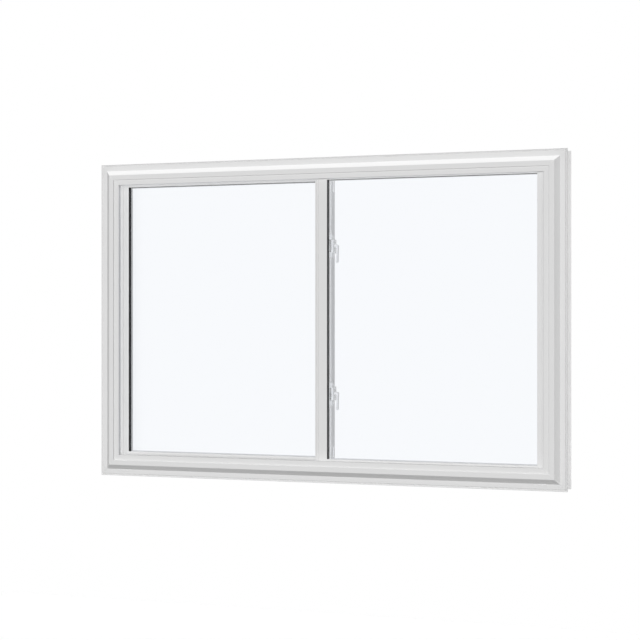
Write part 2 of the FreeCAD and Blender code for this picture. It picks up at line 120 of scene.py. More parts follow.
class Shader:
    """The node tree of one material or world, filled by a single node method."""

    def __init__(self, owner: bpy.types.Material | bpy.types.World,
                 output: str = "ShaderNodeOutputMaterial") -> None:
        """Empties the owner's tree and adds its output.

        Args:
            owner: The material or world that is dressed.
            output: The type of its output node.
        """
        owner.use_nodes = True
        self.tree = owner.node_tree
        self.tree.nodes.clear()
        self.output = self.tree.nodes.new(output)

    def node(self, kind: str, settings: dict[str, Any], inputs: dict[Any, Any],
             result: Any = 0) -> Wire:
        """Adds a node of any type.

        Args:
            kind: The node's type.
            settings: Properties of the node, set first.
            inputs: Values or wires by the socket's name or number.
            result: The name or number of the output that is wanted.

        Returns:
            The wanted output.
        """
        made = self.tree.nodes.new(kind)
        for name, value in settings.items():
            setattr(made, name, value)
        for key, value in inputs.items():
            socket = made.inputs[key]
            if isinstance(value, Wire):
                self.tree.links.new(value.socket, socket)
            else:
                socket.default_value = value
        return Wire(self, made.outputs[result])

    def coordinates(self) -> Wire:
        """The object's own coordinates, in metres."""
        return self.node("ShaderNodeTexCoord", {}, {}, "Object")

    def ray(self, output: str) -> Wire:
        """What is known of the ray that sees the surface."""
        return self.node("ShaderNodeLightPath", {}, {}, output)

    def noise(self, where: Wire, scale: float) -> Wire:
        """A smooth noise from 0 to 1, at a scale in waves per metre."""
        inputs = {"Vector": where, "Scale": scale, "Detail": NOISE_OCTAVES}
        return self.node("ShaderNodeTexNoise", {}, inputs, "Fac")

    def stretched(self, where: Wire, scale: Triple) -> Wire:
        """Coordinates scaled along each axis."""
        return self.node("ShaderNodeMapping", {}, {"Vector": where, "Scale": scale})

    def blend(self, factor: Wire, first: Triple, second: Triple) -> Wire:
        """Mixes two colours, with the factor as the share of the second."""
        inputs = {0: factor, 6: (*first, 1.0), 7: (*second, 1.0)}
        return self.node("ShaderNodeMix", {"data_type": "RGBA"}, inputs, 2)

    def bump(self, height: Wire, strength: float, distance: float) -> Wire:
        """A normal bumped by a height; the distance is a height of 1 in metres."""
        inputs = {"Height": height, "Strength": strength, "Distance": distance}
        return self.node("ShaderNodeBump", {}, inputs)

    def surface(self, **inputs: Any) -> Wire:
        """A Principled shader; underscores in the names stand for spaces."""
        named = {name.replace("_", " "): value for name, value in inputs.items()}
        return self.node("ShaderNodeBsdfPrincipled", {}, named)

    def mix(self, factor: Wire, first: Wire, second: Wire) -> Wire:
        """One shader where the factor is 0, and another where it is 1."""
        return self.node("ShaderNodeMixShader", {}, {0: factor, 1: first, 2: second})

    def finish(self, shader: Wire) -> None:
        """Joins a shader to the output."""
        self.tree.links.new(shader.socket, self.output.inputs["Surface"])


class Run(Enum):
    """The way a member was extruded, as the fineness of its die lines along X, Y and Z."""

    ACROSS = (3.0, 900.0, 900.0)
    UPRIGHT = (900.0, 900.0, 3.0)


@dataclass(frozen=True)
class VinylFinish:
    """Satin white extruded vinyl, with faint die lines along each member."""

    name: str
    run: Run
    colour: Triple = (0.72, 0.72, 0.72)
    shade: Triple = (0.71, 0.71, 0.71)
    cloud_scale: float = 6.0
    grain_scale: float = 1400.0
    grain_share: float = 0.5
    roughness: float = 0.45
    cloud_gloss: float = 0.06
    line_gloss: float = 0.12
    line_height: float = 0.00003
    line_strength: float = 0.15
    gloss: float = 0.15

    def material(self) -> bpy.types.Material:
        """Makes the material.

        Returns:
            The vinyl material.
        """
        made = bpy.data.materials.new(self.name)
        shader = Shader(made)
        where = shader.coordinates()
        cloud = shader.noise(where, self.cloud_scale)
        grain = shader.noise(where, self.grain_scale)
        lines = shader.noise(shader.stretched(where, self.run.value), 1.0)
        uneven = (cloud - 0.5) * self.cloud_gloss + (lines - 0.5) * self.line_gloss
        relief = lines + grain * self.grain_share
        shader.finish(shader.surface(
            Base_Color=shader.blend(cloud, self.colour, self.shade),
            Roughness=self.roughness + uneven,
            Normal=shader.bump(relief, self.line_strength, self.line_height),
            Specular_IOR_Level=self.gloss,
        ))
        return made


@dataclass(frozen=True)
class GlassFinish:
    """Clear glass with a coating that keeps reflections weak; it lets the lamps through."""

    name: str
    tint: Triple = (0.968, 0.977, 0.99)
    ior: float = 1.3

    def material(self) -> bpy.types.Material:
        """Makes the material.

        Returns:
            The glass material.
        """
        made = bpy.data.materials.new(self.name)
        shader = Shader(made)
        colour = (*self.tint, 1.0)
        glass = shader.surface(
            Base_Color=colour, Roughness=0.0, IOR=self.ior, Transmission_Weight=1.0)
        clear = shader.node("ShaderNodeBsdfTransparent", {}, {"Color": colour})
        shader.finish(shader.mix(shader.ray("Is Shadow Ray"), glass, clear))
        return made


@dataclass(frozen=True)
class PlainFinish:
    """A moulded or coated finish: one colour with a fine speckle and uneven gloss."""

    name: str
    colour: Triple
    shade: Triple
    roughness: float
    metallic: float = 0.0
    grain: float = 900.0
    height: float = 0.00002
    relief: float = 0.2
    uneven: float = 0.1
    gloss: float = 0.5

    def material(self) -> bpy.types.Material:
        """Makes the material.

        Returns:
            The material.
        """
        made = bpy.data.materials.new(self.name)
        shader = Shader(made)
        speckle = shader.noise(shader.coordinates(), self.grain)
        shader.finish(shader.surface(
            Base_Color=shader.blend(speckle, self.colour, self.shade),
            Roughness=self.roughness + (speckle - 0.5) * self.uneven,
            Metallic=self.metallic,
            Normal=shader.bump(speckle, self.relief, self.height),
            Specular_IOR_Level=self.gloss,
        ))
        return made


FINISHES = {
    Slot.VINYL: VinylFinish("white_vinyl", Run.ACROSS),
    Slot.GLASS: GlassFinish("clear_glass"),
    Slot.SPACER: PlainFinish(
        "edge_spacer", (0.012, 0.012, 0.013), (0.02, 0.02, 0.021), 0.6, gloss=0.1),
    Slot.NYLON: PlainFinish("roller_nylon", (0.66, 0.66, 0.63), (0.6, 0.6, 0.57), 0.35),
    Slot.ENAMEL: PlainFinish(
        "lock_enamel", (0.79, 0.79, 0.79), (0.77, 0.77, 0.77), 0.3, grain=500.0, gloss=0.25),
    Slot.PILE: PlainFinish(
        "pile_seal", (0.42, 0.42, 0.43), (0.3, 0.3, 0.31), 0.9, grain=2500.0, height=0.0005),
}
UPRIGHT_VINYL = VinylFinish("white_vinyl_upright", Run.UPRIGHT)
GLAZING_LIP = PlainFinish("glazing_lip", (0.66, 0.66, 0.66), (0.63, 0.63, 0.63), 0.55)
ZINC = PlainFinish(
    "zinc_screw", (0.6, 0.6, 0.58), (0.5, 0.5, 0.49), 0.32, metallic=1.0, grain=1800.0)


class Palette:
    """Every finish made into one material."""

    def __init__(self) -> None:
        """Makes the materials."""
        self.slots = {slot: finish.material() for slot, finish in FINISHES.items()}
        self.upright = UPRIGHT_VINYL.material()
        self.lip = GLAZING_LIP.material()
        self.zinc = ZINC.material()

    def for_node(self, node: str, slot: Slot) -> bpy.types.Material:
        """The material of a node of the frame; upright vinyl members have upright die lines."""
        upright = node.endswith(("_left", "_right", "_stile", "_pull"))
        return self.upright if slot is Slot.VINYL and upright else self.slots[slot]


class Pick(Enum):
    """What a selection in edit mode takes."""

    EDGES = "EDGE"
    FACES = "FACE"


class Crease(Enum):
    """The angle in degrees past which an edge stays crisp, by the kind of piece."""

    PILE = 25.0
    TRIM = 30.0
    METAL = 40.0
    RUBBER = 50.0
    BEAD = 60.0


class Bench:
    """One piece on the bench, shaped by the modelling operators."""

    def __init__(self, name: str) -> None:
        """Takes the primitive that was just added.

        Args:
            name: The piece's name.
        """
        self.piece = bpy.context.object
        self.piece.name = name
        self.settle()

    @classmethod
    def block(cls, name: str, low: Sequence[float], high: Sequence[float]) -> "Bench":
        """Starts a piece from a cube between two corners.

        Args:
            name: The piece's name.
            low: The lowest corner.
            high: The highest corner.

        Returns:
            The piece.
        """
        low, high = Vector(low), Vector(high)
        bpy.ops.object.select_all(action="DESELECT")
        bpy.ops.mesh.primitive_cube_add(size=1.0, location=(low + high) / 2)
        bpy.context.object.scale = high - low
        return cls(name)

    @classmethod
    def rod(cls, name: str, radius: float, length: float, sides: int) -> "Bench":
        """Starts a piece from a cylinder that stands on the origin along Z.

        Args:
            name: The piece's name.
            radius: Its radius.
            length: Its length.
            sides: The number of its sides.

        Returns:
            The piece.
        """
        bpy.ops.object.select_all(action="DESELECT")
        bpy.ops.mesh.primitive_cylinder_add(
            vertices=sides, radius=radius, depth=length, location=(0.0, 0.0, length / 2))
        return cls(name)

    @classmethod
    def disc(cls, name: str, radius: float, sides: int, place: Vector, towards: Vector) -> "Bench":
        """Starts a piece from a flat filled circle.

        Args:
            name: The piece's name.
            radius: Its radius.
            sides: The number of its sides.
            place: Its middle.
            towards: The way that it faces.

        Returns:
            The piece.
        """
        bpy.ops.object.select_all(action="DESELECT")
        bpy.ops.mesh.primitive_circle_add(
            vertices=sides, radius=radius, fill_type="NGON", location=place,
            rotation=towards.to_track_quat("Z", "Y").to_euler())
        return cls(name)

    @classmethod
    def pane(cls, name: str, low: Vector, high: Vector) -> "Bench":
        """Starts a piece from an upright plane that faces outdoors.

        Args:
            name: The piece's name.
            low: Its lowest corner.
            high: Its highest corner, at the same depth.

        Returns:
            The piece.
        """
        bpy.ops.object.select_all(action="DESELECT")
        bpy.ops.mesh.primitive_plane_add(size=1.0, rotation=(math.pi / 2, 0.0, 0.0))
        made = cls(name)
        made.piece.scale = (high.x - low.x, 1.0, high.z - low.z)
        return made.moved((low + high) / 2)

    def settle(self) -> "Bench":
        """Selects the piece alone and puts its place, turn and size into its mesh.

        Returns:
            The piece.
        """
        bpy.ops.object.select_all(action="DESELECT")
        self.piece.select_set(True)
        bpy.context.view_layer.objects.active = self.piece
        bpy.ops.object.transform_apply(location=True, rotation=True, scale=True)
        return self

    def drop(self) -> None:
        """Takes the piece out of the scene."""
        bpy.data.objects.remove(self.piece)

    def moved(self, by: Sequence[float]) -> "Bench":
        """Moves the whole piece."""
        self.piece.location = Vector(by)
        return self.settle()

    def turned(self, about: str, degrees: float) -> "Bench":
        """Turns the whole piece about the origin's X, Y or Z axis."""
        self.piece.rotation_euler["XYZ".index(about)] = math.radians(degrees)
        return self.settle()

    @contextmanager
    def editing(self) -> Iterator[None]:
        """Opens the piece in edit mode and closes it again.

        Yields:
            Nothing, while the piece is open.
        """
        self.settle()
        bpy.ops.object.mode_set(mode="EDIT")
        yield
        bpy.ops.object.mode_set(mode="OBJECT")

    def pick(self, kind: Pick, test: Callable[[Any], bool]) -> None:
        """Selects the faces or edges that pass a test.

        Args:
            kind: Faces or edges.
            test: Takes a face, or an edge's two ends, and says whether it is picked.
        """
        bpy.ops.mesh.select_mode(type=kind.value)
        bpy.ops.mesh.select_all(action="DESELECT")
        shape = bmesh.from_edit_mesh(self.piece.data)
        shape.normal_update()
        if kind is Pick.FACES:
            found = [face for face in shape.faces if test(face)]
        else:
            found = [edge for edge in shape.edges if test(tuple(v.co for v in edge.verts))]
        for item in found:
            item.select_set(True)
        shape.select_flush_mode()
        bmesh.update_edit_mesh(self.piece.data)

    def rim(self, axis: str, place: float) -> None:
        """Selects the edges that lie at one place along an axis, x, y or z."""
        self.pick(Pick.EDGES, lambda ends: all(near(getattr(p, axis), place) for p in ends))

    def facing(self, way: Sequence[float]) -> None:
        """Selects the faces that look one way."""
        way = Vector(way)
        self.pick(Pick.FACES, lambda face: face.normal.dot(way) > ALIGNED)

    @staticmethod
    def everything() -> None:
        """Selects the whole piece in edit mode."""
        bpy.ops.mesh.select_all(action="SELECT")

    @staticmethod
    def push(by: Sequence[float]) -> None:
        """Extrudes the selected faces."""
        bpy.ops.mesh.extrude_region_move(TRANSFORM_OT_translate={"value": Vector(by)})

    @staticmethod
    def inset(width: float) -> None:
        """Insets the selected faces."""
        bpy.ops.mesh.inset(thickness=width, depth=0.0)

    @staticmethod
    def soften(width: float, steps: int) -> None:
        """Bevels the selected edges by a width, in a number of steps."""
        bpy.ops.mesh.bevel(offset=width, segments=steps, affect="EDGES", clamp_overlap=True)

    @staticmethod
    def taper(factors: Triple, centre: Triple) -> None:
        """Scales the selection along X, Y and Z about a point."""
        bpy.ops.transform.resize(value=factors, center_override=centre)

    def modifier(self, kind: str, **settings: Any) -> "Bench":
        """Adds a modifier and applies it.

        Args:
            kind: The modifier's type.
            settings: Its properties.

        Returns:
            The piece.
        """
        self.settle()
        made = self.piece.modifiers.new(kind.lower(), kind)
        for name, value in settings.items():
            setattr(made, name, value)
        bpy.ops.object.modifier_apply(modifier=made.name)
        return self

    def row(self, count: int, step: Sequence[float]) -> "Bench":
        """Repeats the piece in a row, a number of times and by one step."""
        return self.modifier("ARRAY", count=count, use_relative_offset=False,
                             use_constant_offset=True, constant_offset_displace=Vector(step))

    def cut(self, cutter: "Bench") -> "Bench":
        """Cuts another piece out of this one and drops it.

        Args:
            cutter: The other piece.

        Returns:
            The piece.
        """
        self.modifier("BOOLEAN", operation="DIFFERENCE", solver="EXACT", object=cutter.piece)
        cutter.drop()
        return self

    def copied(self) -> "Bench":
        """A copy with its own mesh.

        Returns:
            The copy.
        """
        self.settle()
        bpy.ops.object.duplicate(linked=False)
        return Bench(self.piece.name)

    def joined(self, *others: "Bench") -> "Bench":
        """Takes other pieces into this one.

        Args:
            others: The other pieces.

        Returns:
            The piece.
        """
        self.settle()
        for other in others:
            other.piece.select_set(True)
        bpy.ops.object.join()
        return self

    def fitted(self, name: str, body: str, slot: Slot, finish: bpy.types.Material,
               crease: Crease) -> "Bench":
        """Finishes the piece: shading, material and the body it rides on.

        Args:
            name: The finished piece's name.
            body: The body that it moves with.
            slot: Its material slot; not used.
            finish: Its material.
            crease: How sharp an edge of it stays crisp.

        Returns:
            The piece.
        """
        self.settle()
        self.piece.name = self.piece.data.name = name
        bpy.ops.object.shade_smooth_by_angle(angle=math.radians(crease.value))
        self.piece.data.materials.clear()
        self.piece.data.materials.append(finish)
        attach(self.piece, body)
        LOG.info("%s: %d faces, rides on %s", name, len(self.piece.data.polygons), body)
        return self


def near(a: float, b: float) -> bool:
    """Whether two places are the same to a hundredth of a millimetre."""
    return abs(a - b) < 1e-5


@dataclass(frozen=True)
class Sash:
    """One sash: its body and the nodes of its two stiles."""

    body: str
    left: str
    right: str

    @property
    def jamb(self) -> str:
        """The node of the stile that runs into the jamb."""
        return self.left if self.left.endswith("_jamb_stile") else self.right

    def rail(self, which: str) -> tuple[Vector, Vector]:
        """The box of the sash's top or bottom rail."""
        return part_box(f"{self.body}_{which}_rail")


SASHES = (
    Sash("left_sash", "left_sash_jamb_stile", "left_sash_lock_stile"),
    Sash("right_sash", "right_sash_keeper_stile", "right_sash_jamb_stile"),
)


@dataclass(frozen=True)
class CrossScrew:
    """A pan-head screw with a cross recess, its seat on the origin and its head along Z."""

    radius: float = 0.0029
    height: float = 0.0017
    recess: float = 0.0010
    arm: float = 0.0017
    arm_width: float = 0.0006
    sides: int = 24
    dome: float = 0.8
    dome_steps: int = 4

    def model(self) -> Bench:
        """Models one screw head.

        Returns:
            The screw.
        """
        head = Bench.rod("screw", self.radius, self.height, self.sides)
        with head.editing():
            head.rim("z", self.height)
            head.soften(self.height * self.dome, self.dome_steps)
        half, floor, top = self.arm_width / 2, self.height - self.recess, self.height * 1.5
        cross = Bench.block("recess", (-half, -half, floor), (half, half, top))
        with cross.editing():
            for way in ((1, 0, 0), (-1, 0, 0), (0, 1, 0), (0, -1, 0)):
                cross.facing(way)
                cross.push(Vector(way) * (self.arm - half))
        return head.cut(cross)

    def row(self, places: Sequence[Sequence[float]], degrees: float) -> Bench:
        """Puts a copy at each place.

        Args:
            places: Where the seats are.
            degrees: The angle about Y by which the heads are turned from Z.

        Returns:
            All the screws as one piece.
        """
        pattern = self.model().turned("Y", degrees)
        copies = [pattern.copied().moved(place) for place in places]
        pattern.drop()
        return copies[0].joined(*copies[1:])


@dataclass
class Lock:
    """What one cam lock and its keeper carry: screws, a rivet and the lever's grip ridges."""

    name: str
    screw_spread: float = 0.0155
    ear_inset: float = 0.00775
    ridge_radius: float = 0.0007
    ridge_length: float = 0.0072
    ridge_heights: Triple = (-0.0385, -0.0415, -0.0445)
    ridge_sides: int = 12
    ridge_round: float = 0.6
    rivet_radius: float = 0.0036
    rivet_height: float = 0.0012
    rivet_sides: int = 24
    rivet_round: float = 0.85
    probe: float = 0.1

    def node(self, part: str) -> str:
        """The name of one of the lock's nodes."""
        return f"{self.name}_{part}"

    def axis(self) -> Vector:
        """The lever's turning axis, at the housing's face.

        Returns:
            The point.
        """
        name = self.node("lock_turn")
        turn = next(joint for joint in frame["joints"] if joint["name"] == name)
        place = Vector(turn["pos_m"])
        place.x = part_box(self.node("lock_housing"))[1].x
        return place

    def lever_face(self, height: float) -> Vector:
        """The point on the lever's outer face at a height above the axis."""
        start = self.axis() + Vector((self.probe, 0.0, height))
        return frame["nodes"][self.node("lock_lever")].ray_cast(start, (-1.0, 0.0, 0.0))[1]

    def screws(self, finish: bpy.types.Material) -> None:
        """Puts the screws into the housing and the keeper's ears.

        Args:
            finish: The screws' material.
        """
        low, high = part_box(self.node("keeper"))
        ear = (low + high) / 2
        ear.x = high.x
        seats = {
            ("housing_screws", "left_sash"): (self.axis(), self.screw_spread),
            ("keeper_screws", "right_sash"): (ear, (high.z - low.z) / 2 - self.ear_inset),
        }
        for (piece, body), (middle, spread) in seats.items():
            spots = [middle + Vector((0.0, 0.0, side * spread)) for side in (-1, 1)]
            screws = CrossScrew().row(spots, 90.0)
            screws.fitted(self.node(piece), body, Slot.ENAMEL, finish, Crease.METAL)

    def grip(self, finish: bpy.types.Material) -> None:
        """Puts the grip ridges and the rivet on the lever.

        Args:
            finish: Their material.
        """
        ridge = Bench.rod("ridge", self.ridge_radius, self.ridge_length, self.ridge_sides)
        with ridge.editing():
            for end in (0.0, self.ridge_length):
                ridge.rim("z", end)
                ridge.soften(self.ridge_radius * self.ridge_round, 2)
        ridge.turned("X", 90.0).moved((0.0, self.ridge_length / 2, 0.0))
        ridges = [ridge.copied().moved(self.lever_face(height)) for height in self.ridge_heights]
        ridge.drop()
        rivet = Bench.rod("rivet", self.rivet_radius, self.rivet_height, self.rivet_sides)
        with rivet.editing():
            rivet.rim("z", self.rivet_height)
            rivet.soften(self.rivet_height * self.rivet_round, 4)
        rivet.turned("Y", 90.0).moved(self.lever_face(0.0)).joined(*ridges)
        rivet.fitted(
            self.node("lever_grip"), self.node("lever"), Slot.ENAMEL, finish, Crease.METAL)


@dataclass
class PileStrip:
    """A pile weatherstrip: a backing tape with a row of tapered tufts."""

    width: float = 0.0048
    height: float = 0.0048
    backing: float = 0.001
    tuft: float = 0.0014
    pitch: float = 0.0019
    lean: float = 0.45
    brush_half: float = 0.4
    tape_round: float = 0.4
    tip: float = 0.8
    tip_place: float = 0.7

    def lying(self, length: float) -> Bench:
        """Models a strip from the origin along X, with its tufts up.

        Args:
            length: Its length.

        Returns:
            The strip.
        """
        half, brush = self.width / 2, self.width * self.brush_half
        tape = Bench.block("tape", (0.0, -half, 0.0), (length, half, self.backing))
        with tape.editing():
            tape.rim("z", self.backing)
            tape.soften(self.backing * self.tape_round, 1)
        tuft = Bench.block(
            "tuft", (0.0, -brush, self.backing), (self.tuft, brush, self.height))
        with tuft.editing():
            tuft.facing((0, 0, 1))
            tuft.taper((self.lean, self.tip, 1.0),
                       (self.tuft * self.tip_place, 0.0, self.height))
        count = int((length - self.tuft) / self.pitch) + 1
        return tape.joined(tuft.row(count, (self.pitch, 0.0, 0.0)))

    def standing(self, length: float) -> Bench:
        """Models a strip from the origin up along Z, with its tufts indoors."""
        return self.lying(length).turned("Y", -90.0).turned("Z", -90.0)


@dataclass
class Weatherstrips:
    """The pile strips between the sashes and the frame, and between the two sashes."""

    inset: float = 0.0125
    end_gap: float = 0.006
    meeting_backing: float = 0.0016
    meeting_pitch: float = 0.0021

    def ring(self, sash: Sash, finish: bpy.types.Material) -> None:
        """Lays strips along a sash's rails on both faces, and up its jamb stile indoors.

        Args:
            sash: The sash.
            finish: The strips' material.
        """
        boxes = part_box(sash.left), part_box(sash.right)
        low = Vector([min(pair) for pair in zip(*(box[0] for box in boxes))])
        high = Vector([max(pair) for pair in zip(*(box[1] for box in boxes))])
        across = PileStrip().lying(high.x - low.x - 2 * self.end_gap)
        across.moved((low.x + self.end_gap, 0.0, 0.0))
        strips = []
        for face, turn in ((low.y, 90.0), (high.y, -90.0)):
            for height in (low.z + self.inset, high.z - self.inset):
                strips.append(across.copied().turned("X", turn).moved((0.0, face, height)))
        across.drop()
        jamb_x = low.x + self.inset if sash.jamb == sash.left else high.x - self.inset
        upright = PileStrip().standing(high.z - low.z - 2 * self.end_gap)
        upright.moved((jamb_x, high.y, low.z + self.end_gap)).joined(*strips)
        upright.fitted(
            f"{sash.body}_weatherstrips", sash.body, Slot.PILE, finish, Crease.PILE)

    def meeting(self, finish: bpy.types.Material) -> None:
        """Lays the pile between the two meeting stiles in place of its plain solid.

        Args:
            finish: The strip's material.
        """
        low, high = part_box("keeper_stile_pile")
        strip = PileStrip(width=high.x - low.x, height=high.y - low.y,
                          backing=self.meeting_backing, pitch=self.meeting_pitch)
        made = strip.standing(high.z - low.z).moved(((low.x + high.x) / 2, low.y, low.z))
        made.fitted("meeting_pile", "right_sash", Slot.PILE, finish, Crease.PILE)
        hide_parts("keeper_stile_pile")


@dataclass
class WeepCovers:
    """The two drain covers on the lower lip, each with a rim and a flap that hangs in it."""

    length: float = 0.045
    edge: float = 0.0006
    rim: float = 0.0007
    sunk: float = 0.0006
    play: float = 0.0003
    flap_edge: float = 0.00015
    flap_front: float = 0.4
    tilt: float = 7.0

    def model(self, low: Vector, high: Vector) -> Bench:
        """Models one cover.

        Args:
            low: The lowest corner of its box.
            high: The highest corner of its box.

        Returns:
            The cover.
        """
        cover = Bench.block("cover", low, high)
        with cover.editing():
            cover.rim("y", low.y)
            cover.soften(self.edge, 3)
            cover.facing((0, -1, 0))
            cover.inset(self.rim)
            cover.push((0.0, self.sunk, 0.0))
        side, pocket = self.edge + self.rim + self.play, low.y + self.sunk
        flap = Bench.block(
            "flap", (low.x + side, low.y + self.sunk * self.flap_front, low.z + side),
            (high.x - side, pocket + self.play, high.z - side))
        with flap.editing():
            flap.pick(Pick.EDGES, lambda ends: all(p.y < low.y + self.sunk * 0.5 for p in ends))
            flap.soften(self.flap_edge, 1)
            flap.everything()
            bpy.ops.transform.rotate(value=math.radians(self.tilt), orient_axis="X",
                                     center_override=(0.0, pocket, high.z - side))
        return cover.joined(flap)

    def build(self, finish: bpy.types.Material) -> None:
        """Models the cover once and puts its copy at the other end.

        Args:
            finish: The covers' material.
        """
        low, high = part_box("weep_covers")
        left = self.model(low, Vector((low.x + self.length, high.y, high.z)))
        right = left.copied().moved((high.x - low.x - self.length, 0.0, 0.0))
        left.joined(right).fitted("drain_covers", "frame", Slot.VINYL, finish, Crease.TRIM)
        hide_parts("weep_covers")


@dataclass
class GlazingLip:
    """The soft lip where a sash's beads meet the glass indoors."""

    width: float = 0.0016
    proud: float = 0.0011
    slope: float = 0.7

    def ring(self, low: Vector, high: Vector) -> Bench:
        """Models the lip round a pane.

        Args:
            low: A corner of the glass that shows.
            high: The opposite corner, at the same depth.

        Returns:
            The lip.
        """
        lip = Bench.pane("lip", low, high)
        with lip.editing():
            lip.everything()
            lip.inset(self.width)
            bpy.ops.mesh.delete(type="FACE")
        lip.modifier("SOLIDIFY", thickness=self.proud, offset=-1.0)
        with lip.editing():
            lip.pick(Pick.EDGES, lambda ends: all(self._crest(p, low, high) for p in ends))
            bpy.ops.transform.translate(value=(0.0, -self.proud * self.slope, 0.0))
        return lip

    def _crest(self, place: Vector, low: Vector, high: Vector) -> bool:
        """Whether a place is on the ring's inner side and off the glass.

        Args:
            place: The place.
            low: The ring's lowest corner.
            high: The ring's highest corner.

        Returns:
            True for such a place.
        """
        half = self.width / 2
        within_x = low.x + half < place.x < high.x - half
        within_z = low.z + half < place.z < high.z - half
        return within_x and within_z and not near(place.y, low.y)

    def build(self, sash: Sash, finish: bpy.types.Material) -> None:
        """Models the lip of a sash.

        Args:
            sash: The sash.
            finish: The lip's material.
        """
        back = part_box(f"{sash.body}_inner_pane")[1].y
        low = Vector((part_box(sash.left)[1].x, back, sash.rail("bottom")[1].z))
        high = Vector((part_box(sash.right)[0].x, back, sash.rail("top")[0].z))
        self.ring(low, high).fitted(
            f"{sash.body}_glazing_lip", sash.body, Slot.VINYL, finish, Crease.TRIM)


@dataclass
class WeldSeams:
    """The fine beads left where welded members meet at a corner.

    A line of the frame's corners holds how far in from the edge it is, and its depth.
    """

    radius: float = 0.00045
    sides: int = 8
    end_gap: float = 0.0015
    mould: tuple[tuple[float, float], ...] = (
        (0.0012, -0.0760), (0.0048, -0.0733), (0.0062, -0.0759),
        (0.0210, -0.0759), (0.0359, -0.0933), (0.0515, -0.0933))
    step: tuple[tuple[float, float], ...] = ((0.0517, -0.0883), (0.0678, -0.0883))

    def bead(self, path: Sequence[Vector]) -> Bench:
        """Models one bead along a path.

        Args:
            path: The points that it follows.

        Returns:
            The bead.
        """
        along = path[-1] - path[0]
        along.y = 0.0
        bead = Bench.disc("bead", self.radius, self.sides, path[0], along)
        with bead.editing():
            bead.everything()
            for start, end in zip(path, path[1:]):
                bead.push(end - start)
            bpy.ops.mesh.select_mode(type="EDGE")
            bpy.ops.mesh.select_all(action="DESELECT")
            bpy.ops.mesh.select_non_manifold()
            bpy.ops.mesh.edge_face_add()
            bead.everything()
            bpy.ops.mesh.normals_make_consistent(inside=False)
        return bead

    def weld(self, beads: Sequence[Bench], body: str, finish: bpy.types.Material) -> None:
        """Makes a body's beads one finished piece."""
        seams = beads[0].joined(*beads[1:])
        seams.fitted(f"{body}_weld_seams", body, Slot.VINYL, finish, Crease.BEAD)

    def frame(self, finish: bpy.types.Material) -> None:
        """Models the beads on the brickmould's and the frame's corners.

        Args:
            finish: The beads' material.
        """
        low, high = CAD_BOX
        beads = []
        for x, right in ((low[0], -1), (high[0], 1)):
            for z, up in ((low[2], -1), (high[2], 1)):
                for line in (self.mould, self.step):
                    path = [Vector((x - right * inset, y, z - up * inset)) for inset, y in line]
                    beads.append(self.bead(path))
        self.weld(beads, "frame", finish)

    def sash(self, sash: Sash, finish: bpy.types.Material) -> None:
        """Models the beads on a sash's corners, outdoors and indoors.

        Args:
            sash: The sash.
            finish: The beads' material.
        """
        left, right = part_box(sash.left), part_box(sash.right)
        low, high = sash.rail("bottom"), sash.rail("top")
        beads = []
        for y in (left[0].y, left[1].y):
            for outer_x, sight_x in ((left[0].x, left[1].x), (right[1].x, right[0].x)):
                for outer_z, sight_z in ((low[0].z, low[1].z), (high[1].z, high[0].z)):
                    start, end = Vector((outer_x, y, outer_z)), Vector((sight_x, y, sight_z))
                    gap = (end - start).normalized() * self.end_gap
                    beads.append(self.bead([start + gap, end - gap]))
        self.weld(beads, sash.body, finish)


@dataclass
class JambFittings:
    """Installation screws and soft bumpers on the two side tracks."""

    screw_heights: Triple = (0.14, 0.4875, 0.835)
    bumper_heights: tuple[float, float] = (0.09, 0.885)
    track_floor: float = 0.719
    tracks: tuple[float, float] = (-0.0515, -0.0045)
    screw: CrossScrew = CrossScrew(
        radius=0.0042, height=0.0022, recess=0.0014, arm=0.0024, arm_width=0.0009)
    bumper: Triple = (0.0045, 0.014, 0.026)
    bumper_rim: float = 0.002
    bumper_dish: float = 0.001
    bumper_round: float = 0.35

    def build(self, metal: bpy.types.Material, rubber: bpy.types.Material) -> None:
        """Models the screws and the bumpers.

        Args:
            metal: The screws' material.
            rubber: The bumpers' material.
        """
        screws, bumpers = [], []
        pad = self.pad()
        for side, turn in ((-1.0, 90.0), (1.0, -90.0)):
            x = side * self.track_floor
            spots = [(x, y, z) for y in self.tracks for z in self.screw_heights]
            screws.append(self.screw.row(spots, turn))
            for y in self.tracks:
                for z in self.bumper_heights:
                    bumpers.append(pad.copied().turned("Y", turn).moved((x, y, z)))
        pad.drop()
        screws[0].joined(screws[1])
        screws[0].fitted("jamb_screws", "frame", Slot.ENAMEL, metal, Crease.METAL)
        bumpers[0].joined(*bumpers[1:])
        bumpers[0].fitted("jamb_bumpers", "frame", Slot.NYLON, rubber, Crease.RUBBER)

    def pad(self) -> Bench:
        """Models one bumper that stands along Z.

        Returns:
            The bumper.
        """
        thick, deep, tall = self.bumper
        pad = Bench.block("bumper", (-tall / 2, -deep / 2, 0.0), (tall / 2, deep / 2, thick))
        with pad.editing():
            pad.pick(Pick.EDGES, lambda ends: not all(near(p.z, 0.0) for p in ends))
            pad.soften(thick * self.bumper_round, 4)
            pad.facing((0, 0, 1))
            pad.inset(self.bumper_rim)
            pad.push((0.0, 0.0, -self.bumper_dish))
        return pad


@dataclass(frozen=True)
class Lamp:
    """A broad sun lamp: its way from the window, its strength and its apparent size in degrees."""

    name: str
    towards: Triple
    strength: float
    angle: float = 20.0
    shadow: bool = True

    def light(self) -> None:
        """Adds the lamp, which glass and gloss don't show."""
        data = bpy.data.lights.new(self.name, "SUN")
        data.energy, data.angle = self.strength, math.radians(self.angle)
        data.use_shadow = self.shadow
        lamp = bpy.data.objects.new(self.name, data)
        lamp.rotation_euler = Vector(self.towards).to_track_quat("Z", "Y").to_euler()
        lamp.visible_transmission = lamp.visible_glossy = False
        bpy.context.scene.collection.objects.link(lamp)


